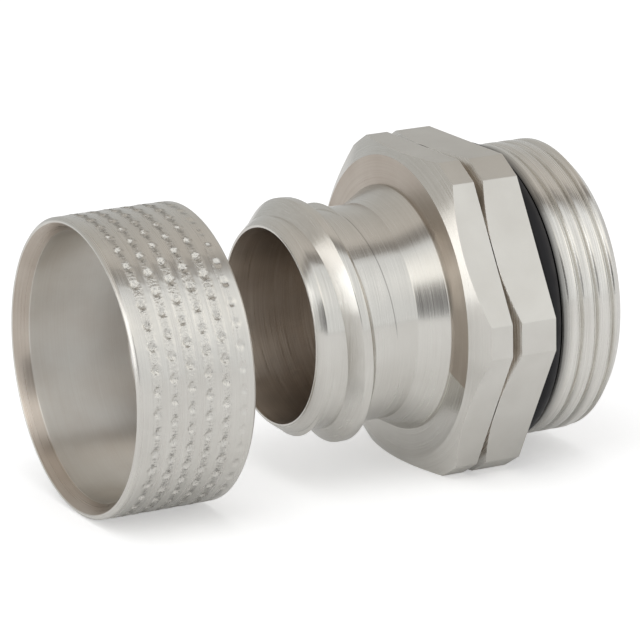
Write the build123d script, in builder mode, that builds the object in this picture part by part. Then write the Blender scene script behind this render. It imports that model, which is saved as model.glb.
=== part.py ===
# Straight connector for flexible conduit: a screw-in spigot that swivels in a threaded adaptor, and a clamp ring.
# Millimetres. X is the connector's axis and runs out along the panel thread, Z is up.
# The origin is on that axis, in the face of the rear hexagon that seats on the panel.
import os
from math import radians, tan

from build123d import *

os.makedirs("parts", exist_ok=True)

# Fits
running_gap = 0.05
seam_gap = 0.1
seal_gap = 0.05
clip_gap = 0.05

# Hexagons
hex_across_flats = 27.0
hex_across_facets = 29.6
front_hex_length = 3.1
rear_hex_length = 4.0
hex_chamfer_angle = 30.0
front_face_diameter = 25.8

# Panel thread
thread_diameter = 25.0
thread_length = 8.1
thread_pitch = 1.5
thread_depth = 0.6
thread_groove_width = 0.8
thread_groove_root_width = 0.2
thread_first_groove = 1.7
thread_relief_diameter = 21.9
thread_start_chamfer = 0.4
thread_end_chamfer = 0.8

# Spigot
spigot_diameter = 18.2
spigot_wall = 0.85
spigot_length = 11.7
mouth_wall = 0.25
mouth_chamfer_length = 0.8
flare_height = 1.3
flare_length = 2.35
flare_land = 0.2

# Screw ridge for the conduit's winding
ridge_height = 1.35
ridge_pitch = 4.5
ridge_base_width = 2.6
ridge_crest_width = 0.8
ridge_crest_round = 0.15
ridge_root_sink = 0.3
ridge_distance = 3.8
ridge_rear_distance = 5.7
ridge_lead_angle = 45.0
ridge_lead_setback = 0.1
ridge_turns_before = 1.75
ridge_turns_after = 0.9

# Swivel
tail_wall = 1.4
tail_recess = 0.2
tail_edge_chamfer = 0.3
swivel_seal_section = 1.8
seal_pocket_length = 2.1
clip_wire = 1.0
clip_ledge_distance = 1.9
clip_pocket_gap = 0.3
clip_opening_angle = 30.0

# Panel seal
flange_seal_section = 2.0

# Clamp ring
ring_ridge_gap = 0.8
ring_wall = 1.25
ring_length = 10.5
ring_lead_depth = 0.55
ring_lead_length = 1.25
ring_rear_chamfer = 0.3
ring_edge_chamfer = 0.25
ring_gap = 7.5

# Punched pits of the clamp ring
pit_rows = 6
pits_per_row = 44
pit_row_pitch = 1.53
pit_first_row = 1.8
pit_length = 1.05
pit_width = 0.9
pit_depth = 0.35
punch_run_in = 0.2

# Stations along the axis
seam_x = -rear_hex_length
front_hex_back_x = seam_x - seam_gap
front_hex_face_x = front_hex_back_x - front_hex_length
mouth_x = front_hex_face_x - spigot_length
ridge_rear_x = front_hex_face_x - ridge_rear_distance
ring_back_x = mouth_x - ring_gap
ring_front_x = ring_back_x - ring_length
seal_pocket_x = seam_x + seal_pocket_length
clip_ledge_x = thread_length - clip_ledge_distance
clip_x = clip_ledge_x + clip_gap + clip_wire / 2
tail_end_x = thread_length - tail_recess
thread_start_x = flange_seal_section + seal_gap

# Sizes across, each taken from what it surrounds
bore_diameter = spigot_diameter - 2 * spigot_wall
mouth_diameter = bore_diameter + 2 * mouth_wall
flare_diameter = spigot_diameter + 2 * flare_height
ridge_diameter = spigot_diameter + 2 * ridge_height
tail_radius = bore_diameter / 2 + tail_wall
swivel_bore_diameter = 2 * (tail_radius + running_gap)
swivel_seal_radius = tail_radius + seal_gap + swivel_seal_section / 2
seal_pocket_radius = swivel_seal_radius + swivel_seal_section / 2 + seal_gap
flange_seal_radius = thread_relief_diameter / 2 + seal_gap + flange_seal_section / 2
clip_radius = tail_radius + clip_gap
clip_pocket_diameter = 2 * (clip_radius + clip_pocket_gap) + clip_wire
ring_bore_diameter = ridge_diameter + 2 * ring_ridge_gap
ring_diameter = ring_bore_diameter + 2 * ring_wall
ring_lead_diameter = ring_bore_diameter + 2 * ring_lead_depth

# The ring lies on the same floor as the flats
ring_axis_z = (ring_diameter - hex_across_flats) / 2
ring_axis = Axis((0, 0, ring_axis_z), (1, 0, 0))


def hexagon(front_x, length, face_diameter):
    """Hexagon bar with blunted corners, flat side down, turned to a chamfer at its front."""
    back_x = front_x + length
    back_radius = face_diameter / 2 + length / tan(radians(hex_chamfer_angle))
    with BuildPart() as bar:
        with BuildSketch(Plane.YZ.offset(front_x)):
            RegularPolygon(hex_across_flats / 2, 6, major_radius=False)
            RegularPolygon(hex_across_facets / 2, 6, major_radius=False, rotation=30, mode=Mode.INTERSECT)
        extrude(amount=length)
        with BuildSketch(Plane.XZ):
            with BuildLine():
                Polyline((front_x, 0), (front_x, face_diameter / 2), (back_x, back_radius), (back_x, 0), close=True)
            make_face()
        revolve(axis=Axis.X, mode=Mode.INTERSECT)
    return bar.part


def o_ring(x, radius, section):
    """Round-section seal about the connector's axis."""
    with BuildPart() as ring:
        with BuildSketch(Plane.XZ):
            with Locations((x, radius)):
                Circle(section / 2)
        revolve(axis=Axis.X)
    return ring


# Screw ridge: swept up a helix, then turned to a lead-in cone in front and a square end behind
with BuildPart() as ridge_sweep:
    with BuildLine() as ridge_path:
        Helix(ridge_pitch, (ridge_turns_before + ridge_turns_after) * ridge_pitch, spigot_diameter / 2)
    with BuildSketch(Plane(origin=(0, 0, 0), x_dir=(1, 0, 0), z_dir=(0, -1, 0))):
        ridge_root = spigot_diameter / 2 - ridge_root_sink
        ridge_shoulder = ridge_diameter / 2 - ridge_crest_round
        flank_slope = (ridge_base_width - ridge_crest_width) / (2 * ridge_shoulder - spigot_diameter)
        root_width = ridge_base_width + 2 * ridge_root_sink * flank_slope
        with BuildLine():
            Polyline(
                (ridge_shoulder, -ridge_crest_width / 2),
                (ridge_root, -root_width / 2),
                (ridge_root, root_width / 2),
                (ridge_shoulder, ridge_crest_width / 2),
            )
            ThreePointArc(
                (ridge_shoulder, ridge_crest_width / 2),
                (ridge_diameter / 2, 0),
                (ridge_shoulder, -ridge_crest_width / 2),
            )
        make_face()
    sweep(path=ridge_path.line, is_frenet=True)

with BuildPart() as screw_ridge:
    ridge_start_x = mouth_x + ridge_distance - ridge_turns_before * ridge_pitch
    add(Location((ridge_start_x, 0, 0), (0, 90, 0)) * ridge_sweep.part)
    with BuildSketch(Plane.XZ):
        lead_x = mouth_x + ridge_lead_setback
        lead_rise = ridge_diameter / 2 + ridge_root_sink - bore_diameter / 2
        lead_run = lead_rise / tan(radians(ridge_lead_angle))
        with BuildLine():
            Polyline(
                (lead_x, bore_diameter / 2),
                (lead_x + lead_run, bore_diameter / 2 + lead_rise),
                (ridge_rear_x, bore_diameter / 2 + lead_rise),
                (ridge_rear_x, bore_diameter / 2),
                close=True,
            )
        make_face()
    revolve(axis=Axis.X, mode=Mode.INTERSECT)

# Spigot body: mouth, neck and flare, then the front hexagon and the tail that turns in the adaptor
with BuildPart() as spigot_body:
    with BuildSketch(Plane.XZ):
        with BuildLine():
            Polyline(
                (mouth_x, bore_diameter / 2),
                (mouth_x, mouth_diameter / 2),
                (mouth_x + mouth_chamfer_length, spigot_diameter / 2),
                (front_hex_face_x - flare_land - flare_length, spigot_diameter / 2),
                (front_hex_face_x - flare_land, flare_diameter / 2),
                (front_hex_back_x, flare_diameter / 2),
                (front_hex_back_x, tail_radius),
                (tail_end_x - tail_edge_chamfer, tail_radius),
                (tail_end_x, tail_radius - tail_edge_chamfer),
                (tail_end_x, bore_diameter / 2),
                close=True,
            )
        make_face()
    revolve(axis=Axis.X)
    add(screw_ridge.part)
    add(hexagon(front_hex_face_x, front_hex_length, front_face_diameter))
    with BuildSketch(Plane.XZ):
        with BuildLine():
            Polyline(
                (mouth_x, 0),
                (mouth_x, bore_diameter / 2),
                (tail_end_x, bore_diameter / 2),
                (tail_end_x, 0),
                close=True,
            )
        make_face()
        with Locations((clip_x, clip_radius)):
            Circle(clip_wire / 2 + clip_gap)
    revolve(axis=Axis.X, mode=Mode.SUBTRACT)

# Thread profile: its grooves as plain rings, one for each turn that fits on the stem
groove_x = thread_start_x + thread_first_groove
last_groove_x = thread_length - thread_end_chamfer - thread_groove_width / 2
thread_profile = []
while groove_x < last_groove_x:
    thread_profile += [
        (groove_x - thread_groove_width / 2, thread_diameter / 2),
        (groove_x - thread_groove_root_width / 2, thread_diameter / 2 - thread_depth),
        (groove_x + thread_groove_root_width / 2, thread_diameter / 2 - thread_depth),
        (groove_x + thread_groove_width / 2, thread_diameter / 2),
    ]
    groove_x += thread_pitch

# Thread adaptor: rear hexagon and threaded stem, bored for the tail, its seal and its snap ring
with BuildPart() as thread_adaptor:
    add(hexagon(seam_x, rear_hex_length, hex_across_flats))
    with BuildSketch(Plane.XZ):
        with BuildLine():
            Polyline(
                (seam_x, 0),
                (seam_x, thread_relief_diameter / 2),
                (thread_start_x, thread_relief_diameter / 2),
                (thread_start_x, thread_diameter / 2 - thread_start_chamfer),
                (thread_start_x + thread_start_chamfer, thread_diameter / 2),
                *thread_profile,
                (thread_length - thread_end_chamfer, thread_diameter / 2),
                (thread_length, thread_diameter / 2 - thread_end_chamfer),
                (thread_length, 0),
                close=True,
            )
        make_face()
    revolve(axis=Axis.X)
    with BuildSketch(Plane.XZ):
        with BuildLine():
            Polyline(
                (seam_x, 0),
                (seam_x, seal_pocket_radius),
                (seal_pocket_x, seal_pocket_radius),
                (seal_pocket_x, swivel_bore_diameter / 2),
                (clip_ledge_x, swivel_bore_diameter / 2),
                (clip_ledge_x, clip_pocket_diameter / 2),
                (thread_length, clip_pocket_diameter / 2),
                (thread_length, 0),
                close=True,
            )
        make_face()
    revolve(axis=Axis.X, mode=Mode.SUBTRACT)

# Seals
flange_o_ring = o_ring(flange_seal_section / 2, flange_seal_radius, flange_seal_section)
swivel_seal = o_ring(seal_pocket_x - seal_gap - swivel_seal_section / 2, swivel_seal_radius, swivel_seal_section)

# Snap ring: round wire in the tail's groove, bearing on the adaptor's ledge
with BuildPart() as snap_ring:
    with BuildSketch(Plane.XZ):
        with Locations((clip_x, clip_radius)):
            Circle(clip_wire / 2)
    revolve(axis=Axis.X, revolution_arc=360 - clip_opening_angle)

# Punch for one pit: a four-sided point with its corners along and round the ring
with BuildPart() as punch:
    spread = (pit_depth + punch_run_in) / pit_depth / 2
    with BuildSketch(Plane.YZ.offset(punch_run_in)) as punch_base:
        with BuildLine():
            Polyline(
                (pit_width * spread, 0),
                (0, pit_length * spread),
                (-pit_width * spread, 0),
                (0, -pit_length * spread),
                close=True,
            )
        make_face()
    loft([punch_base.sketch.face(), Vertex(-pit_depth, 0, 0)])

# Clamp ring: thin sleeve with a lead-in cone, then staggered rows of pits round its outside
with BuildPart() as clamp_ring:
    with BuildSketch(Plane.XZ):
        with BuildLine():
            Polyline(
                (ring_front_x, ring_axis_z + ring_lead_diameter / 2),
                (ring_front_x, ring_axis_z + ring_diameter / 2 - ring_edge_chamfer),
                (ring_front_x + ring_edge_chamfer, ring_axis_z + ring_diameter / 2),
                (ring_back_x - ring_edge_chamfer, ring_axis_z + ring_diameter / 2),
                (ring_back_x, ring_axis_z + ring_diameter / 2 - ring_edge_chamfer),
                (ring_back_x, ring_axis_z + ring_bore_diameter / 2 + ring_rear_chamfer),
                (ring_back_x - ring_rear_chamfer, ring_axis_z + ring_bore_diameter / 2),
                (ring_front_x + ring_lead_length, ring_axis_z + ring_bore_diameter / 2),
                close=True,
            )
        make_face()
    revolve(axis=ring_axis)
    for row in range(pit_rows):
        row_x = ring_front_x + pit_first_row + row * pit_row_pitch
        stagger = 180 / pits_per_row * ((row + 1) % 2)
        with Locations(Plane(origin=(row_x, 0, ring_axis_z), x_dir=(0, -1, 0), z_dir=(1, 0, 0))):
            with PolarLocations(ring_diameter / 2, pits_per_row, start_angle=stagger):
                add(punch.part, mode=Mode.SUBTRACT)

for name, piece in (
    ("clamp_ring", clamp_ring),
    ("spigot_body", spigot_body),
    ("thread_adaptor", thread_adaptor),
    ("flange_o_ring", flange_o_ring),
    ("swivel_seal", swivel_seal),
    ("snap_ring", snap_ring),
):
    piece.part.label = name
    export_step(piece.part, f"parts/{name}.step")
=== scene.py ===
from math import cos, pi, radians, sin, tan

import bmesh
import bpy
from mathutils import Matrix, Vector


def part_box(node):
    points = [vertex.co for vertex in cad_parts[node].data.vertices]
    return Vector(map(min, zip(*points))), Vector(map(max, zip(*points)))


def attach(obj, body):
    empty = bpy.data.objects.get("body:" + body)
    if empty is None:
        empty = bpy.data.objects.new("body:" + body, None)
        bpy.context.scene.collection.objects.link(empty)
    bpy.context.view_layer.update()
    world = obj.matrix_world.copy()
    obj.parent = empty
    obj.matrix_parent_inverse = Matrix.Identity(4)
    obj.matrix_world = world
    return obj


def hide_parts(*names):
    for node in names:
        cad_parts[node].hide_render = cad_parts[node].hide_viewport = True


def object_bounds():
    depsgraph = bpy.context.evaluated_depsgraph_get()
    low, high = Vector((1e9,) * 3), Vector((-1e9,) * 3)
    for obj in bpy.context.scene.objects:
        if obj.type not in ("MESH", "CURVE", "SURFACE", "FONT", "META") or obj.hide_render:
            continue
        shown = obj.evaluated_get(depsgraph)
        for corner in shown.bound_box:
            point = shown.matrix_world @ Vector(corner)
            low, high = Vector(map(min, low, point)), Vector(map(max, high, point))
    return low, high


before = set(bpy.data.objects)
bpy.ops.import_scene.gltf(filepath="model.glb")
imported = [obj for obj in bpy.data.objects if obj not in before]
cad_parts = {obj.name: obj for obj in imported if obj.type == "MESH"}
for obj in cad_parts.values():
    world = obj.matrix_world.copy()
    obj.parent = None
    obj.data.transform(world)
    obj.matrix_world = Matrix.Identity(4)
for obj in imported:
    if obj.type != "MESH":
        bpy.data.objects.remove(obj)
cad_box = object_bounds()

# The spigot body is one piece of brass bar, turned to its mouth, neck and flare, with a hexagon left
# standing behind them and a tail that swivels in the adaptor. A coarse screw ridge round the neck takes
# the conduit's winding. The whole piece is nickel plated.
mm = 0.001
weld = 0.002 * mm
turned_sides = 128
spigot_low, spigot_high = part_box("spigot_body")
adaptor_low, adaptor_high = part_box("thread_adaptor")
mouth_x = spigot_low.x
tail_end_x = spigot_high.x
hex_half_flat = spigot_high.z
hex_half_facet = spigot_high.y
seam_gap = 0.1 * mm
front_hex_length = 3.1 * mm
front_hex_back_x = adaptor_low.x - seam_gap
front_hex_face_x = front_hex_back_x - front_hex_length
front_face_radius = 12.9 * mm
front_hex_hole_radius = 9 * mm
hex_chamfer_angle = radians(30)
hex_edge_round = 0.05 * mm
bore_radius = 8.25 * mm
mouth_radius = 8.5 * mm
mouth_chamfer = 0.8 * mm
neck_radius = 9.1 * mm
flare_radius = 10.4 * mm
flare_length = 2.35 * mm
flare_land = 0.2 * mm
tail_radius = 9.65 * mm
tail_chamfer = 0.3 * mm
clip_x = 6.75 * mm
clip_radius = 9.7 * mm
clip_groove = 0.55 * mm
clip_groove_start = radians(200)
clip_groove_step = radians(28)
clip_groove_stations = 6
turned_edge_round = 0.07 * mm
turned_edge_angle = radians(20)


def begin(piece_name):
    """Names the primitive just added, puts its place into its mesh and opens it with all of it selected."""
    piece = bpy.context.object
    piece.name = piece_name
    bpy.ops.object.transform_apply()
    bpy.ops.object.mode_set(mode="EDIT")
    bpy.ops.mesh.select_all(action="SELECT")
    return piece


def lathe_ring(piece_name, x, radius, sides=turned_sides, axis_z=0.0):
    """Starts a turned piece as one ring of edges across its axis."""
    bpy.ops.object.select_all(action="DESELECT")
    bpy.ops.mesh.primitive_circle_add(
        vertices=sides, radius=radius, location=(x, 0, axis_z), rotation=(0, pi / 2, 0)
    )
    return begin(piece_name)


def turn(profile, axis_z=0.0):
    """Draws the selected ring along a lathe profile of (x, radius) stations, from its own place."""
    for (x, radius), (next_x, next_radius) in zip(profile, profile[1:]):
        bpy.ops.mesh.extrude_edges_move(TRANSFORM_OT_translate={"value": (next_x - x, 0, 0)})
        growth = next_radius / radius
        bpy.ops.transform.resize(value=(1, growth, growth), center_override=(next_x, 0, axis_z))


def close_mesh():
    """Welds what meets, turns the faces outwards and leaves edit mode."""
    bpy.ops.mesh.select_all(action="SELECT")
    bpy.ops.mesh.remove_doubles(threshold=weld)
    bpy.ops.mesh.normals_make_consistent(inside=False)
    bpy.ops.object.mode_set(mode="OBJECT")


def tube(piece_name, profile):
    """A turned piece with a closed profile that stays clear of the axis."""
    piece = lathe_ring(piece_name, *profile[0])
    turn(profile + profile[:1])
    close_mesh()
    return piece


def bar(piece_name, profile):
    """A turned piece that is solid to the axis, with a flat face at each end."""
    piece = lathe_ring(piece_name, *profile[0])
    bpy.ops.mesh.edge_face_add()
    bpy.ops.mesh.select_mode(type="EDGE")
    turn(profile)
    bpy.ops.mesh.edge_face_add()
    close_mesh()
    return piece


def apply(piece, kind, **settings):
    """Adds one modifier to a piece and applies it."""
    modifier = piece.modifiers.new(kind.lower(), kind)
    for setting, value in settings.items():
        setattr(modifier, setting, value)
    bpy.context.view_layer.objects.active = piece
    bpy.ops.object.modifier_apply(modifier=modifier.name)


def carve(piece, tool, operation):
    """Joins two solids, cuts the second from the first or keeps their overlap, and drops the second."""
    apply(piece, "BOOLEAN", operation=operation, solver="EXACT", object=tool)
    bpy.data.objects.remove(tool)


def pick(piece, kind, test):
    """Selects the vertices, edges or faces of the piece in edit mode that pass the test."""
    bpy.ops.mesh.select_mode(type=kind)
    bpy.ops.mesh.select_all(action="DESELECT")
    edit = bmesh.from_edit_mesh(piece.data)
    for element in {"VERT": edit.verts, "EDGE": edit.edges, "FACE": edit.faces}[kind]:
        if test(element):
            element.select_set(True)
    bmesh.update_edit_mesh(piece.data)


def runs_along(edge):
    """Whether an edge runs along the connector's axis."""
    share_along = 0.9
    first, second = (corner.co for corner in edge.verts)
    return abs(first.x - second.x) > share_along * (first - second).length


def hexagon(piece_name, front_x, length, face_radius, hole_radius):
    """Hexagon bar, flat side down, with blunted corners and a cone turned on its front."""
    bpy.ops.object.select_all(action="DESELECT")
    bpy.ops.mesh.primitive_cylinder_add(
        vertices=6,
        radius=hex_half_flat / cos(pi / 6),
        depth=length,
        location=(front_x + length / 2, 0, 0),
        rotation=(0, pi / 2, 0),
    )
    piece = begin(piece_name)
    pick(piece, "EDGE", runs_along)
    blunting = (hex_half_flat / cos(pi / 6) - hex_half_facet) / cos(pi / 3)
    bpy.ops.mesh.bevel(offset=blunting, affect="EDGES")
    pick(piece, "EDGE", runs_along)
    bpy.ops.mesh.bevel(offset=hex_edge_round, segments=2, affect="EDGES")
    close_mesh()
    reach = length / 2
    slope = 1 / tan(hex_chamfer_angle)
    cone = tube(
        "chamfer_cone",
        [
            (front_x - reach, hole_radius),
            (front_x - reach, face_radius - reach * slope),
            (front_x + length + reach, face_radius + (length + reach) * slope),
            (front_x + length + reach, hole_radius),
        ],
    )
    carve(piece, cone, "INTERSECT")
    return piece


groove_arc = [clip_groove_start + station * clip_groove_step for station in range(clip_groove_stations)]
spigot_body = tube(
    "spigot_nickel",
    [
        (mouth_x, bore_radius),
        (mouth_x, mouth_radius),
        (mouth_x + mouth_chamfer, neck_radius),
        (front_hex_face_x - flare_land - flare_length, neck_radius),
        (front_hex_face_x - flare_land, flare_radius),
        (front_hex_face_x + front_hex_length / 2, flare_radius),
        (front_hex_face_x + front_hex_length / 2, tail_radius),
        *[(clip_x + clip_groove * cos(a), clip_radius + clip_groove * sin(a)) for a in groove_arc],
        (tail_end_x - tail_chamfer, tail_radius),
        (tail_end_x, tail_radius - tail_chamfer),
        (tail_end_x, bore_radius),
    ],
)
apply(
    spigot_body,
    "BEVEL",
    width=turned_edge_round,
    segments=2,
    limit_method="ANGLE",
    angle_limit=turned_edge_angle,
)

ridge_pitch = 4.5 * mm
ridge_radius = 10.45 * mm
ridge_crest_width = 0.75 * mm
ridge_root_width = 3.05 * mm
ridge_root_radius = 8.8 * mm
ridge_crest_round = 0.07 * mm
ridge_distance = 3.8 * mm
ridge_rear_distance = 5.7 * mm
ridge_rear_x = front_hex_face_x - ridge_rear_distance
ridge_lead_setback = 0.1 * mm
ridge_lead_rise = 3 * mm
ridge_turns = 3
ridge_turns_before = 1.25
winding_steps = 120
ridge_start_x = mouth_x + ridge_distance - ridge_turns_before * ridge_pitch


def winding(
    piece_name, x, root_radius, root_width, crest_radius, crest_width, crest_round, pitch, turns, steps
):
    """A solid ridge wound right-handed round the axis, from its section above the axis at x."""
    bpy.ops.object.select_all(action="DESELECT")
    bpy.ops.mesh.primitive_plane_add(
        size=1, location=(x, 0, (root_radius + crest_radius) / 2), rotation=(pi / 2, 0, 0)
    )
    piece = begin(piece_name)
    bpy.ops.transform.resize(
        value=(root_width, 1, crest_radius - root_radius),
        center_override=(x, 0, (root_radius + crest_radius) / 2),
    )
    pick(piece, "VERT", lambda corner: corner.co.z > (root_radius + crest_radius) / 2)
    bpy.ops.transform.resize(value=(crest_width / root_width, 1, 1), center_override=(x, 0, crest_radius))
    bpy.ops.mesh.bevel(offset=crest_round, segments=4, affect="VERTICES")
    bpy.ops.mesh.select_all(action="SELECT")
    bpy.ops.mesh.delete(type="ONLY_FACE")
    bpy.ops.object.mode_set(mode="OBJECT")
    apply(
        piece,
        "SCREW",
        axis="X",
        angle=2 * pi,
        screw_offset=pitch,
        iterations=turns,
        steps=steps,
        render_steps=steps,
        use_merge_vertices=False,
    )
    bpy.ops.object.mode_set(mode="EDIT")
    bpy.ops.mesh.select_all(action="SELECT")
    bpy.ops.mesh.fill_holes(sides=0)
    close_mesh()
    return piece


screw_ridge = winding(
    "screw_ridge",
    ridge_start_x,
    ridge_root_radius,
    ridge_root_width,
    ridge_radius,
    ridge_crest_width,
    ridge_crest_round,
    ridge_pitch,
    ridge_turns,
    winding_steps,
)
ridge_envelope = tube(
    "ridge_envelope",
    [
        (mouth_x + ridge_lead_setback, bore_radius),
        (mouth_x + ridge_lead_setback + ridge_lead_rise, bore_radius + ridge_lead_rise),
        (ridge_rear_x, bore_radius + ridge_lead_rise),
        (ridge_rear_x, bore_radius),
    ],
)
carve(screw_ridge, ridge_envelope, "INTERSECT")
carve(spigot_body, screw_ridge, "UNION")
front_hex = hexagon(
    "front_hexagon", front_hex_face_x, front_hex_length, front_face_radius, front_hex_hole_radius
)
carve(spigot_body, front_hex, "UNION")

bore_brown = (0.42, 0.36, 0.305, 1)
bore_grey = (0.56, 0.505, 0.445, 1)
nickel_light = (0.735, 0.72, 0.68, 1)
nickel_dark = (0.60, 0.58, 0.54, 1)


def socket(group, socket_name, direction, kind="Float"):
    """Adds one named input or output to a node group."""
    return group.interface.new_socket(socket_name, in_out=direction, socket_type=f"NodeSocket{kind}")


def math_node(nodes, operation, *values):
    """A Math node with the sockets or numbers that it works on."""
    node = nodes.new("ShaderNodeMath")
    node.operation = operation
    for slot_input, value in zip(node.inputs, values):
        if isinstance(value, bpy.types.NodeSocket):
            nodes.id_data.links.new(value, slot_input)
        else:
            slot_input.default_value = value
    return node.outputs[0]


# Shared effect: the fine rings that a lathe tool leaves, and the cloudy patches of the plating over them.
turning_marks = bpy.data.node_groups.new("turning_marks", "ShaderNodeTree")
socket(turning_marks, "Position", "INPUT", "Vector")
socket(turning_marks, "Lines per metre", "INPUT")
socket(turning_marks, "Clouds per metre", "INPUT")
socket(turning_marks, "Lines", "OUTPUT")
socket(turning_marks, "Clouds", "OUTPUT")
marks = turning_marks.nodes
link = turning_marks.links.new
marks_in = marks.new("NodeGroupInput")
marks_out = marks.new("NodeGroupOutput")
place = marks.new("ShaderNodeSeparateXYZ")
link(marks_in.outputs["Position"], place.inputs[0])
across = marks.new("ShaderNodeCombineXYZ")
link(place.outputs["Y"], across.inputs["Y"])
link(place.outputs["Z"], across.inputs["Z"])
radius_node = marks.new("ShaderNodeVectorMath")
radius_node.operation = "LENGTH"
link(across.outputs[0], radius_node.inputs[0])
round_axis = marks.new("ShaderNodeVectorMath")
round_axis.operation = "NORMALIZE"
link(across.outputs[0], round_axis.inputs[0])
heading = marks.new("ShaderNodeSeparateXYZ")
link(round_axis.outputs[0], heading.inputs[0])
line_place = marks.new("ShaderNodeCombineXYZ")
link(
    math_node(marks, "MULTIPLY", place.outputs["X"], marks_in.outputs["Lines per metre"]),
    line_place.inputs["X"],
)
link(heading.outputs["Y"], line_place.inputs["Y"])
link(heading.outputs["Z"], line_place.inputs["Z"])
line_noise = marks.new("ShaderNodeTexNoise")
line_noise.noise_dimensions = "4D"
line_noise.inputs["Scale"].default_value = 1
line_noise.inputs["Detail"].default_value = 3
line_noise.inputs["Roughness"].default_value = 0.65
link(line_place.outputs[0], line_noise.inputs["Vector"])
link(
    math_node(marks, "MULTIPLY", radius_node.outputs["Value"], marks_in.outputs["Lines per metre"]),
    line_noise.inputs["W"],
)
link(line_noise.outputs["Fac"], marks_out.inputs["Lines"])
cloud_noise = marks.new("ShaderNodeTexNoise")
cloud_noise.inputs["Detail"].default_value = 4
link(marks_in.outputs["Position"], cloud_noise.inputs["Vector"])
link(marks_in.outputs["Clouds per metre"], cloud_noise.inputs["Scale"])
link(cloud_noise.outputs["Fac"], marks_out.inputs["Clouds"])


def blank_material(material_name):
    """A new material with one shader, and its nodes."""
    material = bpy.data.materials.new(material_name)
    material.use_nodes = True
    nodes = material.node_tree.nodes
    return material, nodes, nodes["Principled BSDF"]


def spread(nodes, value, low, high, start=0.3, end=0.7):
    """Stretches a part of a value's range, by default the middle of a noise, to a range of its own."""
    node = nodes.new("ShaderNodeMapRange")
    nodes.id_data.links.new(value, node.inputs["Value"])
    node.inputs["From Min"].default_value = start
    node.inputs["From Max"].default_value = end
    node.inputs["To Min"].default_value = low
    node.inputs["To Max"].default_value = high
    return node.outputs["Result"]


def blend_colours(nodes, factor, first, second):
    """A colour that goes from the first, a colour or a socket, to the second with the factor."""
    node = nodes.new("ShaderNodeMix")
    node.data_type = "RGBA"
    nodes.id_data.links.new(factor, node.inputs["Factor"])
    if isinstance(first, bpy.types.NodeSocket):
        nodes.id_data.links.new(first, node.inputs["A"])
    else:
        node.inputs["A"].default_value = first
    node.inputs["B"].default_value = second
    return node.outputs["Result"]


def add_relief(shader, height, depth):
    """Bumps a finish by a height that changes over the surface, on top of any bump that it has."""
    links = shader.id_data.links
    relief = shader.id_data.nodes.new("ShaderNodeBump")
    relief.inputs["Distance"].default_value = depth
    relief.inputs["Strength"].default_value = 1
    links.new(height, relief.inputs["Height"])
    if shader.inputs["Normal"].is_linked:
        links.new(shader.inputs["Normal"].links[0].from_socket, relief.inputs["Normal"])
    links.new(relief.outputs["Normal"], shader.inputs["Normal"])


def turned_metal(
    material_name, dark, light, roughness, lines_per_mm, line_depth, line_share=0.6, axis_z=0.0
):
    """Plated metal off the lathe: fine rings in its gloss and its normal, clouds in its colour."""
    clouds_per_mm = 0.3
    roughness_swing = 0.06
    material, nodes, shader = blank_material(material_name)
    links = material.node_tree.links
    coordinates = nodes.new("ShaderNodeTexCoord")
    centred = nodes.new("ShaderNodeMapping")
    centred.inputs["Location"].default_value = (0, 0, -axis_z)
    links.new(coordinates.outputs["Object"], centred.inputs["Vector"])
    finish = nodes.new("ShaderNodeGroup")
    finish.node_tree = turning_marks
    finish.inputs["Lines per metre"].default_value = lines_per_mm / mm
    finish.inputs["Clouds per metre"].default_value = clouds_per_mm / mm
    links.new(centred.outputs["Vector"], finish.inputs["Position"])
    lines = finish.outputs["Lines"]
    shade = math_node(nodes, "MULTIPLY", spread(nodes, finish.outputs["Clouds"], 0, 1), 1 - line_share)
    shade = math_node(nodes, "MULTIPLY_ADD", spread(nodes, lines, 0, 1), line_share, shade)
    links.new(blend_colours(nodes, shade, dark, light), shader.inputs["Base Color"])
    gloss = spread(nodes, lines, roughness - roughness_swing, roughness + roughness_swing)
    links.new(gloss, shader.inputs["Roughness"])
    add_relief(shader, lines, line_depth)
    sweep = nodes.new("ShaderNodeTangent")
    sweep.direction_type = "RADIAL"
    sweep.axis = "X"
    links.new(sweep.outputs["Tangent"], shader.inputs["Tangent"])
    shader.inputs["Anisotropic"].default_value = 0.75
    shader.inputs["Anisotropic Rotation"].default_value = 0.25
    shader.inputs["Metallic"].default_value = 1
    return material


def satin_metal(material_name, dark, light, roughness, grains_per_mm, grain_depth):
    """Plated metal with a fine even grain and no direction."""
    clouds_per_mm = 0.25
    roughness_swing = 0.05
    material, nodes, shader = blank_material(material_name)
    links = material.node_tree.links
    coordinates = nodes.new("ShaderNodeTexCoord")
    grain = nodes.new("ShaderNodeTexNoise")
    grain.inputs["Scale"].default_value = grains_per_mm / mm
    grain.inputs["Detail"].default_value = 2
    links.new(coordinates.outputs["Object"], grain.inputs["Vector"])
    clouds = nodes.new("ShaderNodeTexNoise")
    clouds.inputs["Scale"].default_value = clouds_per_mm / mm
    clouds.inputs["Detail"].default_value = 5
    links.new(coordinates.outputs["Object"], clouds.inputs["Vector"])
    links.new(blend_colours(nodes, clouds.outputs["Fac"], dark, light), shader.inputs["Base Color"])
    gloss = spread(nodes, grain.outputs["Fac"], roughness - roughness_swing, roughness + roughness_swing)
    links.new(gloss, shader.inputs["Roughness"])
    add_relief(shader, grain.outputs["Fac"], grain_depth)
    shader.inputs["Metallic"].default_value = 1
    return material


def from_axis(point, axis_z=0.0):
    """Distance of a point from a turned piece's axis."""
    return (point.y**2 + (point.z - axis_z) ** 2) ** 0.5


def finish_faces(piece, material, test):
    """Gives the faces that pass the test a material of their own."""
    piece.data.materials.append(material)
    index = len(piece.data.materials) - 1
    for face in piece.data.polygons:
        if test(face):
            face.material_index = index


def smooth(piece, angle):
    """Smooth shading up to an angle between faces."""
    bpy.ops.object.select_all(action="DESELECT")
    piece.select_set(True)
    bpy.context.view_layer.objects.active = piece
    bpy.ops.object.shade_smooth_by_angle(angle=angle)


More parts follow.
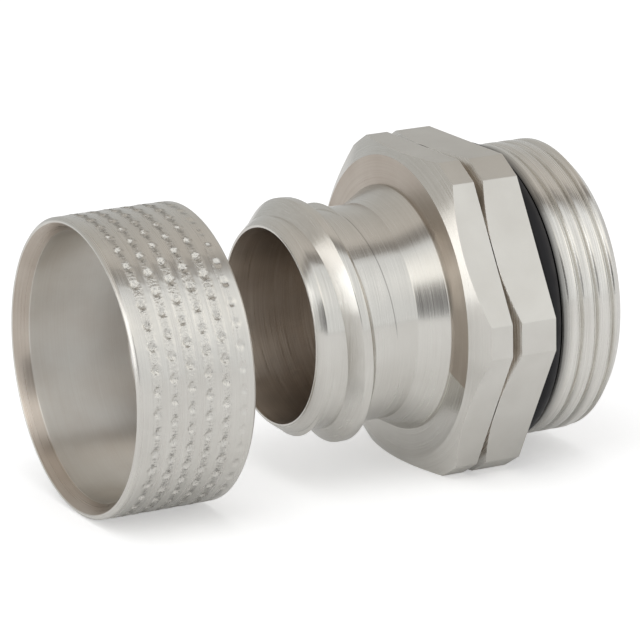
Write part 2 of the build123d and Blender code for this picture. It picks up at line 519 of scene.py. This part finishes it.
def object_place(nodes):
    """The place on a piece, as one vector and as its three parts."""
    coordinates = nodes.new("ShaderNodeTexCoord")
    parts = nodes.new("ShaderNodeSeparateXYZ")
    nodes.id_data.links.new(coordinates.outputs["Object"], parts.inputs[0])
    return coordinates.outputs["Object"], parts.outputs


def darken(material, factor):
    """Scales the colour of a finish by a value that changes over the surface."""
    nodes = material.node_tree.nodes
    links = material.node_tree.links
    colour = nodes["Principled BSDF"].inputs["Base Color"]
    scaled = nodes.new("ShaderNodeVectorMath")
    scaled.operation = "SCALE"
    links.new(colour.links[0].from_socket, scaled.inputs[0])
    links.new(factor, scaled.inputs["Scale"])
    links.new(scaled.outputs["Vector"], colour)


def scribe(material, first_x, last_x, first_angle, last_angle, half_width, fade, darkness):
    """Adds the fine helical line that a tool leaves where it runs out, between two angles."""
    nodes = material.node_tree.nodes
    _, place = object_place(nodes)
    angle = math_node(nodes, "ARCTAN2", place["Z"], math_node(nodes, "MULTIPLY", place["Y"], -1))
    lead = (last_x - first_x) / (last_angle - first_angle)
    line_x = math_node(nodes, "MULTIPLY_ADD", angle, lead, first_x - lead * first_angle)
    off_line = math_node(nodes, "ABSOLUTE", math_node(nodes, "SUBTRACT", place["X"], line_x))
    past_last = spread(nodes, angle, 0, 1, last_angle - fade, last_angle)
    before_first = spread(nodes, angle, 1, 0, first_angle, first_angle + fade)
    mask = math_node(nodes, "MULTIPLY", past_last, before_first)
    on_line = spread(nodes, off_line, darkness, 0, half_width, 2 * half_width)
    darken(material, math_node(nodes, "SUBTRACT", 1, math_node(nodes, "MULTIPLY", mask, on_line)))


crease_angle = radians(25)
flat_tilt = 0.1
bore_finish_radius = 1.001 * bore_radius
front_flats_radius = 1.02 * flare_radius
spigot_metal = turned_metal(
    "spigot_nickel", nickel_dark, nickel_light, roughness=0.23, lines_per_mm=9, line_depth=0.004 * mm
)
scribe(
    spigot_metal,
    first_x=-12.6 * mm,
    last_x=-11.8 * mm,
    first_angle=radians(74),
    last_angle=radians(7),
    half_width=0.03 * mm,
    fade=radians(8),
    darkness=0.4,
)
bore_metal = turned_metal(
    "bored_nickel", bore_brown, bore_grey, roughness=0.33, lines_per_mm=9, line_depth=0.006 * mm
)
flat_metal = satin_metal(
    "hexagon_nickel", nickel_dark, nickel_light, roughness=0.42, grains_per_mm=14, grain_depth=0.004 * mm
)
spigot_body.data.materials.clear()
finish_faces(spigot_body, spigot_metal, lambda face: True)
finish_faces(spigot_body, bore_metal, lambda face: from_axis(face.center) < bore_finish_radius)
finish_faces(
    spigot_body,
    flat_metal,
    lambda face: from_axis(face.center) > front_flats_radius and abs(face.normal.x) < flat_tilt,
)
smooth(spigot_body, crease_angle)
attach(spigot_body, "spigot")
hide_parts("spigot_body")

# The swivel seal is a moulded rubber O-ring in the adaptor's front pocket, closed in by the front hexagon.
# The snap ring is drawn spring wire, sprung into the tail's groove to hold the adaptor on. Both are hidden
# or nearly so, and their solids are already right, so they only get their finish.
rubber_black = (0.006, 0.006, 0.007, 1)
rubber_grey = (0.014, 0.013, 0.015, 1)
wire_dark = (0.36, 0.36, 0.37, 1)
wire_light = (0.52, 0.52, 0.52, 1)


def moulded_rubber(material_name, blooms_per_mm, bloom_depth):
    """Matt black rubber with a soft bloom on its skin."""
    material, nodes, shader = blank_material(material_name)
    links = material.node_tree.links
    coordinates = nodes.new("ShaderNodeTexCoord")
    bloom = nodes.new("ShaderNodeTexNoise")
    bloom.inputs["Scale"].default_value = blooms_per_mm / mm
    bloom.inputs["Detail"].default_value = 5
    links.new(coordinates.outputs["Object"], bloom.inputs["Vector"])
    skin = blend_colours(nodes, bloom.outputs["Fac"], rubber_black, rubber_grey)
    links.new(skin, shader.inputs["Base Color"])
    links.new(spread(nodes, bloom.outputs["Fac"], low=0.42, high=0.6), shader.inputs["Roughness"])
    add_relief(shader, bloom.outputs["Fac"], bloom_depth)
    shader.inputs["Specular IOR Level"].default_value = 0.25
    return material


seal_rubber = moulded_rubber("seal_rubber", blooms_per_mm=0.9, bloom_depth=0.01 * mm)
spring_wire = turned_metal(
    "spring_wire", wire_dark, wire_light, roughness=0.3, lines_per_mm=12, line_depth=0.002 * mm
)
for node_name, finish in (("swivel_seal", seal_rubber), ("snap_ring", spring_wire)):
    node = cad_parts[node_name]
    node.data.materials.clear()
    node.data.materials.append(finish)

# The thread adaptor is turned from hexagon bar: a rear hexagon that seats on the panel, a relief for the
# flange seal and the panel thread, bored through for the tail. It is nickel plated like the spigot body.
rear_hex_back_x = 0.0
rear_hex_length = rear_hex_back_x - adaptor_low.x
rear_hex_hole_radius = 5 * mm
rear_flats_radius = 13 * mm
thread_end_x = adaptor_high.x
thread_start_x = 2.05 * mm
thread_radius = 12.5 * mm
thread_root_radius = 12.1 * mm
thread_start_chamfer = 0.15 * mm
thread_end_chamfer = 0.8 * mm
thread_pitch = 1.5 * mm
thread_crest_width = 0.95 * mm
thread_foot_width = 1.455 * mm
thread_sink = 0.05 * mm
thread_crest_round = 0.2 * mm
thread_turns = 7
thread_turns_before = 1.5
run_out_radius = 12.4 * mm
run_out_length = 0.9 * mm
run_out_slope = 0.4 * mm
relief_radius = 10.95 * mm
end_step = 0.01 * mm
seal_pocket_radius = 11.55 * mm
seal_pocket_x = -1.9 * mm
swivel_bore_radius = 9.7 * mm
clip_ledge_x = 6.2 * mm
clip_pocket_radius = 10.5 * mm
over_run = 1 * mm

adaptor = hexagon("adaptor_nickel", adaptor_low.x, rear_hex_length, hex_half_flat, rear_hex_hole_radius)
stem = bar(
    "threaded_stem",
    [
        (rear_hex_back_x - rear_hex_length / 2, relief_radius),
        (thread_start_x + end_step, relief_radius),
        (thread_start_x + end_step, run_out_radius),
        (thread_start_x + run_out_length, run_out_radius),
        (thread_start_x + run_out_length + run_out_slope, thread_root_radius),
        (thread_end_x - thread_end_chamfer + thread_radius - thread_root_radius, thread_root_radius),
        (thread_end_x - end_step, thread_radius - thread_end_chamfer + end_step),
    ],
)
thread = winding(
    "panel_thread",
    thread_start_x - thread_turns_before * thread_pitch,
    thread_root_radius - thread_sink,
    thread_foot_width,
    thread_radius,
    thread_crest_width,
    thread_crest_round,
    thread_pitch,
    thread_turns,
    winding_steps,
)
thread_hold_radius = thread_root_radius - thread_sink / 2
thread_envelope = tube(
    "thread_envelope",
    [
        (thread_start_x, thread_hold_radius),
        (thread_start_x, thread_radius - thread_start_chamfer),
        (thread_start_x + thread_start_chamfer, thread_radius),
        (thread_end_x - thread_end_chamfer, thread_radius),
        (thread_end_x - thread_end_chamfer + thread_radius - thread_hold_radius, thread_hold_radius),
    ],
)
carve(thread, thread_envelope, "INTERSECT")
carve(adaptor, stem, "UNION")
carve(adaptor, thread, "UNION")
bores = bar(
    "adaptor_bores",
    [
        (adaptor_low.x - over_run, seal_pocket_radius),
        (seal_pocket_x, seal_pocket_radius),
        (seal_pocket_x, swivel_bore_radius),
        (clip_ledge_x, swivel_bore_radius),
        (clip_ledge_x, clip_pocket_radius),
        (thread_end_x + over_run, clip_pocket_radius),
    ],
)
carve(adaptor, bores, "DIFFERENCE")
thread_dark = (0.58, 0.56, 0.52, 1)
thread_light = (0.84, 0.825, 0.785, 1)
thread_metal = turned_metal(
    "thread_nickel",
    thread_dark,
    thread_light,
    roughness=0.25,
    lines_per_mm=11,
    line_depth=0.012 * mm,
    line_share=0.8,
)


def darken_along_axis(material, dark_x, clear_distance, light_left):
    """Darkens a finish along the axis, most at one place and less with distance from it."""
    nodes = material.node_tree.nodes
    _, place = object_place(nodes)
    away = math_node(nodes, "ABSOLUTE", math_node(nodes, "SUBTRACT", place["X"], dark_x))
    darken(material, spread(nodes, away, light_left, 1, 0, clear_distance))


# The thread's colour is darker beside the flange seal, darkest at the thread's start and clearing over the
# run-out.
darken_along_axis(thread_metal, thread_start_x, clear_distance=run_out_length, light_left=0.1)
adaptor.data.materials.clear()
finish_faces(adaptor, thread_metal, lambda face: True)
finish_faces(
    adaptor,
    flat_metal,
    lambda face: from_axis(face.center) > rear_flats_radius and abs(face.normal.x) < flat_tilt,
)
smooth(adaptor, crease_angle)
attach(adaptor, "adaptor")
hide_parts("thread_adaptor")

# The flange seal is a black rubber O-ring that seals against the panel. It is moulded in two halves, which
# leaves a fine raised line round its outside, and it is stretched into the relief behind the thread.
seal_low, seal_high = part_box("flange_o_ring")
seal_section = (seal_high.x - seal_low.x) / 2
seal_radius = seal_high.z - seal_section
flash_width = 0.05 * mm
flash_height = 0.02 * mm
seal_section_sides = 24
outermost_edge = 0.999
outermost_line = 0.9995
bpy.ops.object.select_all(action="DESELECT")
bpy.ops.mesh.primitive_torus_add(
    location=((seal_low.x + seal_high.x) / 2, 0, 0),
    rotation=(0, pi / 2, 0),
    major_segments=turned_sides,
    minor_segments=seal_section_sides,
    major_radius=seal_radius,
    minor_radius=seal_section,
)
flange_seal = begin("flange_seal")
pick(
    flange_seal,
    "EDGE",
    lambda edge: all(
        from_axis(corner.co) > seal_radius + outermost_edge * seal_section for corner in edge.verts
    ),
)
bpy.ops.mesh.bevel(offset=flash_width, segments=2, affect="EDGES")
pick(
    flange_seal,
    "VERT",
    lambda corner: from_axis(corner.co) > seal_radius + outermost_line * seal_section,
)
flash_growth = 1 + flash_height / (seal_radius + seal_section)
bpy.ops.transform.resize(value=(1, flash_growth, flash_growth), center_override=(0, 0, 0))
close_mesh()
flange_seal.data.materials.append(seal_rubber)
smooth(flange_seal, crease_angle)
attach(flange_seal, "adaptor")
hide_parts("flange_o_ring")

# The clamp ring is a thin sleeve cut from brass tube, with a cone turned inside its front edge, and nickel
# plated too. Six staggered rows of pits are punched round its outside, the last one lightly, with three
# small nicks between each pit and the next. It is loose until it is pushed over the conduit on the spigot.
ring_low, ring_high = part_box("clamp_ring")
ring_axis_z = (ring_low.z + ring_high.z) / 2
pit_lip = 0.03 * mm
ring_radius = (ring_high.z - ring_low.z) / 2 - pit_lip
ring_bore_radius = 11.25 * mm
ring_lead_radius = 12.05 * mm
ring_lead_length = 1.25 * mm
ring_edge_chamfer = 0.25 * mm
ring_rear_chamfer = 0.3 * mm
ring_edge_round = 0.06 * mm
pits_per_row = 44
pit_row_pairs = 3
pit_rows = 2 * pit_row_pairs
pit_row_pitch = 1.53 * mm
last_row_start = (pit_rows - 1.5) * pit_row_pitch
pit_first_row = 1.7 * mm
pit_depth = 0.4 * mm
pit_half_width = 0.45 * mm
pit_half_length = 0.5 * mm
last_row_share = 0.45
pit_rim = 1.01
nick_depth = 0.1 * mm
nick_place = 0.6 * mm
nick_end = 0.74 * mm
flat_step = 0.001 * mm
finish_margin = 0.01 * mm
cell_width = 2 * pi * ring_radius / pits_per_row
cell_columns = 10
cell_rows = 6
pit_corner = 0.7
column_places = [
    0.0, pit_corner * pit_half_width, pit_half_width, nick_place, nick_end, cell_width / 2
]
row_places = [0.0, pit_corner * pit_half_length, pit_half_length]
nick_columns = (3, 5)

bpy.ops.object.select_all(action="DESELECT")
bpy.ops.mesh.primitive_grid_add(
    x_subdivisions=cell_columns, y_subdivisions=cell_rows, size=1, rotation=(pi / 2, 0, 0)
)
clamp_ring = begin("ring_nickel")
bpy.ops.transform.resize(value=(cell_width, 1, pit_row_pitch), center_override=(0, 0, 0))
column_step = cell_width / cell_columns
row_step = pit_row_pitch / cell_rows


def nodes_at(column, row):
    """Tests for the cell's vertices at a grid place, on all four sides of its middle."""
    return lambda corner: (
        abs(abs(corner.co.x) - column * column_step) < column_step / 4
        and abs(abs(corner.co.z) - row * row_step) < row_step / 4
    )


moves = []
for column, column_place in enumerate(column_places):
    for row, row_place in enumerate(row_places):
        reach = Vector((column_place / pit_half_width, row_place / pit_half_length)).length
        depth = 0.0
        if reach < pit_rim:
            depth = (1 - reach) * (pit_depth + pit_lip) - pit_lip
        elif column in nick_columns and row == 0:
            depth = nick_depth
        moves.append((column, row, column_place, row_place, depth))
for column, row, column_place, row_place, depth in moves:
    pick(clamp_ring, "VERT", nodes_at(column, row))
    wide = column_place / (column * column_step) if column else 1
    tall = row_place / (row * row_step) if row else 1
    bpy.ops.transform.resize(value=(wide, 1, tall), center_override=(0, 0, 0))
    bpy.ops.transform.translate(value=(0, depth, 0))
pick(clamp_ring, "FACE", lambda face: len({round(c.co.y / flat_step) for c in face.verts}) > 1)
bpy.ops.mesh.quads_convert_to_tris(quad_method="SHORTEST_DIAGONAL")
bpy.ops.mesh.select_all(action="SELECT")
bpy.ops.transform.translate(value=(cell_width / 2, 0, 0))
bpy.ops.object.mode_set(mode="OBJECT")
copies = dict(
    use_relative_offset=False, use_constant_offset=True, use_merge_vertices=True, merge_threshold=weld
)
for count, offset in (
    (2, (cell_width / 2, 0, pit_row_pitch)),
    (pit_row_pairs, (0, 0, 2 * pit_row_pitch)),
    (pits_per_row, (cell_width, 0, 0)),
):
    apply(clamp_ring, "ARRAY", count=count, constant_offset_displace=offset, **copies)
bpy.ops.object.mode_set(mode="EDIT")
pick(clamp_ring, "VERT", lambda corner: corner.co.z > last_row_start)
bpy.ops.transform.resize(value=(1, last_row_share, 1), center_override=(0, 0, 0))
bpy.ops.object.mode_set(mode="OBJECT")
sheet_length = (pits_per_row + 0.5) * cell_width
apply(clamp_ring, "SIMPLE_DEFORM", deform_method="BEND", deform_axis="Z", angle=sheet_length / ring_radius)
rows_start_x = ring_low.x + pit_first_row - pit_row_pitch / 2
rows_end_x = rows_start_x + pit_rows * pit_row_pitch
clamp_ring.matrix_world = (
    Matrix.Translation((rows_start_x + pit_row_pitch / 2, 0, ring_axis_z))
    @ Matrix.Rotation(pi / 2, 4, "Y")
    @ Matrix.Translation((0, -ring_radius, 0))
)
begin("ring_nickel")
bpy.ops.mesh.remove_doubles(threshold=weld)
pick(
    clamp_ring,
    "EDGE",
    lambda edge: all(abs(corner.co.x - rows_start_x) < row_step / 4 for corner in edge.verts),
)
ring_profile = [
    (rows_start_x, ring_radius),
    (ring_low.x + ring_edge_chamfer, ring_radius),
    (ring_low.x, ring_radius - ring_edge_chamfer),
    (ring_low.x, ring_lead_radius),
    (ring_low.x + ring_lead_length, ring_bore_radius),
    (ring_high.x - ring_rear_chamfer, ring_bore_radius),
    (ring_high.x, ring_bore_radius + ring_rear_chamfer),
    (ring_high.x, ring_radius - ring_edge_chamfer),
    (ring_high.x - ring_edge_chamfer, ring_radius),
    (rows_end_x, ring_radius),
]
turn(ring_profile, ring_axis_z)
bpy.ops.mesh.select_all(action="SELECT")
bpy.ops.mesh.remove_doubles(threshold=weld)
turned_corners = ring_profile[1:-1]


def on_turned_corner(edge):
    """Whether an edge lies on one of the ring's turned corners."""
    return any(
        all(
            abs(corner.co.x - x) < weld and abs(from_axis(corner.co, ring_axis_z) - radius) < 2 * weld
            for corner in edge.verts
        )
        for x, radius in turned_corners
    )


pick(clamp_ring, "EDGE", on_turned_corner)
bpy.ops.mesh.bevel(offset=ring_edge_round, segments=2, affect="EDGES")
close_mesh()
ring_metal = turned_metal(
    "ring_nickel",
    nickel_dark,
    nickel_light,
    roughness=0.3,
    lines_per_mm=6,
    line_depth=0.003 * mm,
    axis_z=ring_axis_z,
)


def roughen_rows(material, first_row_x, row_pitch, rows, core, edge, grains_per_mm, grain_depth):
    """Adds the broken skin that the punch leaves along each row to a turned finish."""
    nodes = material.node_tree.nodes
    position, place = object_place(nodes)
    row = math_node(nodes, "MULTIPLY_ADD", place["X"], 1 / row_pitch, 0.5 - first_row_x / row_pitch)
    off_row = math_node(nodes, "SUBTRACT", math_node(nodes, "FRACT", row), 0.5)
    band = spread(nodes, math_node(nodes, "ABSOLUTE", off_row), 1, 0, core, edge)
    half_rows = (rows - 0.5) / 2 * row_pitch
    rows_middle_x = first_row_x + half_rows
    inside = math_node(nodes, "COMPARE", place["X"], rows_middle_x, half_rows + row_pitch / 4)
    band = math_node(nodes, "MULTIPLY", band, inside)
    grain = nodes.new("ShaderNodeTexNoise")
    grain.inputs["Scale"].default_value = grains_per_mm / mm
    grain.inputs["Detail"].default_value = 3
    nodes.id_data.links.new(position, grain.inputs["Vector"])
    broken_skin = math_node(nodes, "MULTIPLY", grain.outputs["Fac"], band)
    add_relief(nodes["Principled BSDF"], broken_skin, grain_depth)


roughen_rows(
    ring_metal,
    ring_low.x + pit_first_row,
    pit_row_pitch,
    rows=pit_rows - 1,
    core=0.2,
    edge=0.36,
    grains_per_mm=4,
    grain_depth=0.09 * mm,
)
ring_grey = (0.64, 0.60, 0.55, 1)
ring_inside = turned_metal(
    "ring_bore_nickel",
    ring_grey,
    nickel_light,
    roughness=0.36,
    lines_per_mm=9,
    line_depth=0.006 * mm,
    line_share=0.4,
    axis_z=ring_axis_z,
)
ring_lead = turned_metal(
    "ring_lead_nickel",
    bore_brown,
    bore_grey,
    roughness=0.3,
    lines_per_mm=9,
    line_depth=0.006 * mm,
    axis_z=ring_axis_z,
)
clamp_ring.data.materials.clear()
finish_faces(clamp_ring, ring_metal, lambda face: True)
finish_faces(
    clamp_ring,
    ring_inside,
    lambda face: from_axis(face.center, ring_axis_z) < ring_lead_radius - finish_margin,
)
cone_from = ring_bore_radius + ring_edge_round
cone_to = ring_lead_radius - ring_edge_round
finish_faces(
    clamp_ring,
    ring_lead,
    lambda face: face.center.x < ring_low.x + ring_lead_length
    and cone_from < from_axis(face.center, ring_axis_z) < cone_to,
)
smooth(clamp_ring, crease_angle)
bpy.ops.object.mode_set(mode="EDIT")
wall_middle = (ring_bore_radius + ring_radius) / 2
pick(
    clamp_ring,
    "EDGE",
    lambda edge: all(rows_start_x < corner.co.x < rows_end_x for corner in edge.verts)
    and all(from_axis(corner.co, ring_axis_z) > wall_middle for corner in edge.verts),
)
bpy.ops.mesh.mark_sharp(clear=True)
bpy.ops.object.mode_set(mode="OBJECT")
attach(clamp_ring, "ring")
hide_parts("clamp_ring")

# The floor is a plain white sheet under and behind the connector, which lies on it. It is lit evenly, and
# only the soft shadow beside the metal shows.
floor_half = 3.0
floor_glow = 0.4
floor_sheen = 0.3
floor_white = (0.8, 0.8, 0.8, 1)
bpy.ops.object.select_all(action="DESELECT")
bpy.ops.mesh.primitive_plane_add(size=2 * floor_half, location=(0, 0, cad_box[0].z))
floor = begin("floor")
bpy.ops.object.mode_set(mode="OBJECT")
floor_paper, nodes, paper = blank_material("floor_paper")
link = floor_paper.node_tree.links.new
paper.inputs["Base Color"].default_value = floor_white
paper.inputs["Roughness"].default_value = 0.9
paper.inputs["Specular IOR Level"].default_value = 0
rays = nodes.new("ShaderNodeLightPath")
seen = math_node(nodes, "ADD", rays.outputs["Is Camera Ray"], rays.outputs["Is Transmission Ray"])
seen = math_node(nodes, "MULTIPLY_ADD", rays.outputs["Is Glossy Ray"], floor_sheen, seen)
link(math_node(nodes, "MULTIPLY", seen, floor_glow), paper.inputs["Emission Strength"])
paper.inputs["Emission Color"].default_value = (1, 1, 1, 1)
floor.data.materials.append(floor_paper)

# The light is a white studio: bright walls with two soft glows and the dark of the camera in them, and a
# greyer ceiling, all of which only the metal mirrors. One soft box stands at the left, and one hangs above
# and gives light without a mirror image.
world = bpy.data.worlds.new("studio")
world.use_nodes = True
bpy.context.scene.world = world
nodes = world.node_tree.nodes
link = world.node_tree.links.new
walls = nodes["Background"]
coordinates = nodes.new("ShaderNodeTexCoord")
heading = nodes.new("ShaderNodeSeparateXYZ")
link(coordinates.outputs["Generated"], heading.inputs[0])
over = math_node(nodes, "ARCTAN2", heading.outputs["Y"], heading.outputs["Z"])
over = math_node(nodes, "MULTIPLY_ADD", over, 1 / (2 * pi), 0.5)
ceiling = nodes.new("ShaderNodeValToRGB")
link(over, ceiling.inputs["Fac"])
wall_white = (0.92, 0.935, 0.945, 1)
ceiling_gap = (0.31, 0.29, 0.27, 1)
ceiling_warm = (0.67, 0.63, 0.585, 1)
ceiling_far = (0.58, 0.56, 0.53, 1)
rear_wall = (0.58, 0.585, 0.58, 1)
ceiling_stops = [
    (-90, wall_white),
    (-19, wall_white),
    (-13, ceiling_gap),
    (-6, ceiling_gap),
    (3, ceiling_warm),
    (40, ceiling_far),
    (80, rear_wall),
]
ramp = ceiling.color_ramp
while len(ramp.elements) < len(ceiling_stops):
    ramp.elements.new(0.5)
for element, (degrees, colour) in zip(ramp.elements, ceiling_stops):
    element.position = 0.5 + degrees / 360
    element.color = colour


def facing(direction, edge, core):
    """A round mask on the walls about a direction, none at its edge and full in its core."""
    towards = nodes.new("ShaderNodeVectorMath")
    towards.operation = "DOT_PRODUCT"
    link(coordinates.outputs["Generated"], towards.inputs[0])
    towards.inputs[1].default_value = Vector(direction).normalized()
    return spread(nodes, towards.outputs["Value"], 0, 1, cos(edge), cos(core))


def patch(behind, direction, edge, core, colour):
    """Lays a round patch of another brightness, with a soft edge, over the studio's walls."""
    return blend_colours(nodes, facing(direction, edge, core), behind, colour)


glow = (1.45, 1.43, 1.38, 1)
glow_edge = radians(28)
glow_core = radians(8)
front_glow = (-0.15, -0.75, 0.65)
right_glow = (0.9, -0.3, 0.33)
camera_dark = (0.12, 0.115, 0.115, 1)
camera_edge = radians(21)
camera_core = radians(13)
camera_side = (-0.52, -0.82, 0.25)
backdrop_white = (1, 1, 1, 1)
room_grey = (0.65, 0.65, 0.65, 1)
studio = patch(ceiling.outputs["Color"], front_glow, glow_edge, glow_core, glow)
studio = patch(studio, right_glow, glow_edge, glow_core, glow)
studio = patch(studio, camera_side, camera_edge, camera_core, camera_dark)
link(studio, walls.inputs["Color"])
backdrop = nodes.new("ShaderNodeBackground")
backdrop.inputs["Color"].default_value = backdrop_white
room = nodes.new("ShaderNodeBackground")
room.inputs["Color"].default_value = room_grey
rays = nodes.new("ShaderNodeLightPath")
shiny = nodes.new("ShaderNodeMixShader")
link(rays.outputs["Is Glossy Ray"], shiny.inputs["Fac"])
link(room.outputs[0], shiny.inputs[1])
link(walls.outputs[0], shiny.inputs[2])
seen = nodes.new("ShaderNodeMixShader")
direct = math_node(nodes, "ADD", rays.outputs["Is Camera Ray"], rays.outputs["Is Transmission Ray"])
link(direct, seen.inputs["Fac"])
link(shiny.outputs[0], seen.inputs[1])
link(backdrop.outputs[0], seen.inputs[2])
link(seen.outputs[0], nodes["World Output"].inputs["Surface"])


def soft_box(lamp_name, direction, distance, width, watts, mirrored=True):
    """A square soft light at a distance from the connector, turned towards it."""
    lamp = bpy.data.lights.new(lamp_name, "AREA")
    lamp.size = width
    lamp.energy = watts
    lamp_object = bpy.data.objects.new(lamp_name, lamp)
    bpy.context.scene.collection.objects.link(lamp_object)
    away = Vector(direction).normalized()
    turned = away.to_track_quat("Z", "Y").to_matrix().to_4x4()
    lamp_object.matrix_world = Matrix.Translation(away * distance) @ turned
    lamp_object.visible_glossy = mirrored


soft_box("side_box", (-1, -0.05, 0.2), distance=0.7, width=0.5, watts=0.95)
soft_box("top_box", (-0.2, -0.4, 1), distance=0.9, width=0.7, watts=2.6, mirrored=False)

# The camera stands where the photograph was taken from: in front of the connector, on its mouth's side and
# a little above it, some 370 mm away, with a long lens that keeps near and far pieces almost to one scale.
bpy.context.scene.view_settings.view_transform = "Standard"
camera_data = bpy.data.cameras.new("camera")
camera_data.lens = 247.5
camera_data.sensor_width = 36
camera = bpy.data.objects.new("camera", camera_data)
bpy.context.scene.collection.objects.link(camera)
aim = Vector((-14.12, 0, -0.18)) * mm
azimuth = radians(-27.53)
elevation = radians(15.38)
roll = radians(-1.2)
distance = 367.7 * mm
back = Vector((sin(azimuth) * cos(elevation), -cos(azimuth) * cos(elevation), sin(elevation)))
camera.matrix_world = (
    Matrix.Translation(aim + back * distance)
    @ back.to_track_quat("Z", "Y").to_matrix().to_4x4()
    @ Matrix.Rotation(roll, 4, "Z")
)
bpy.context.scene.camera = camera
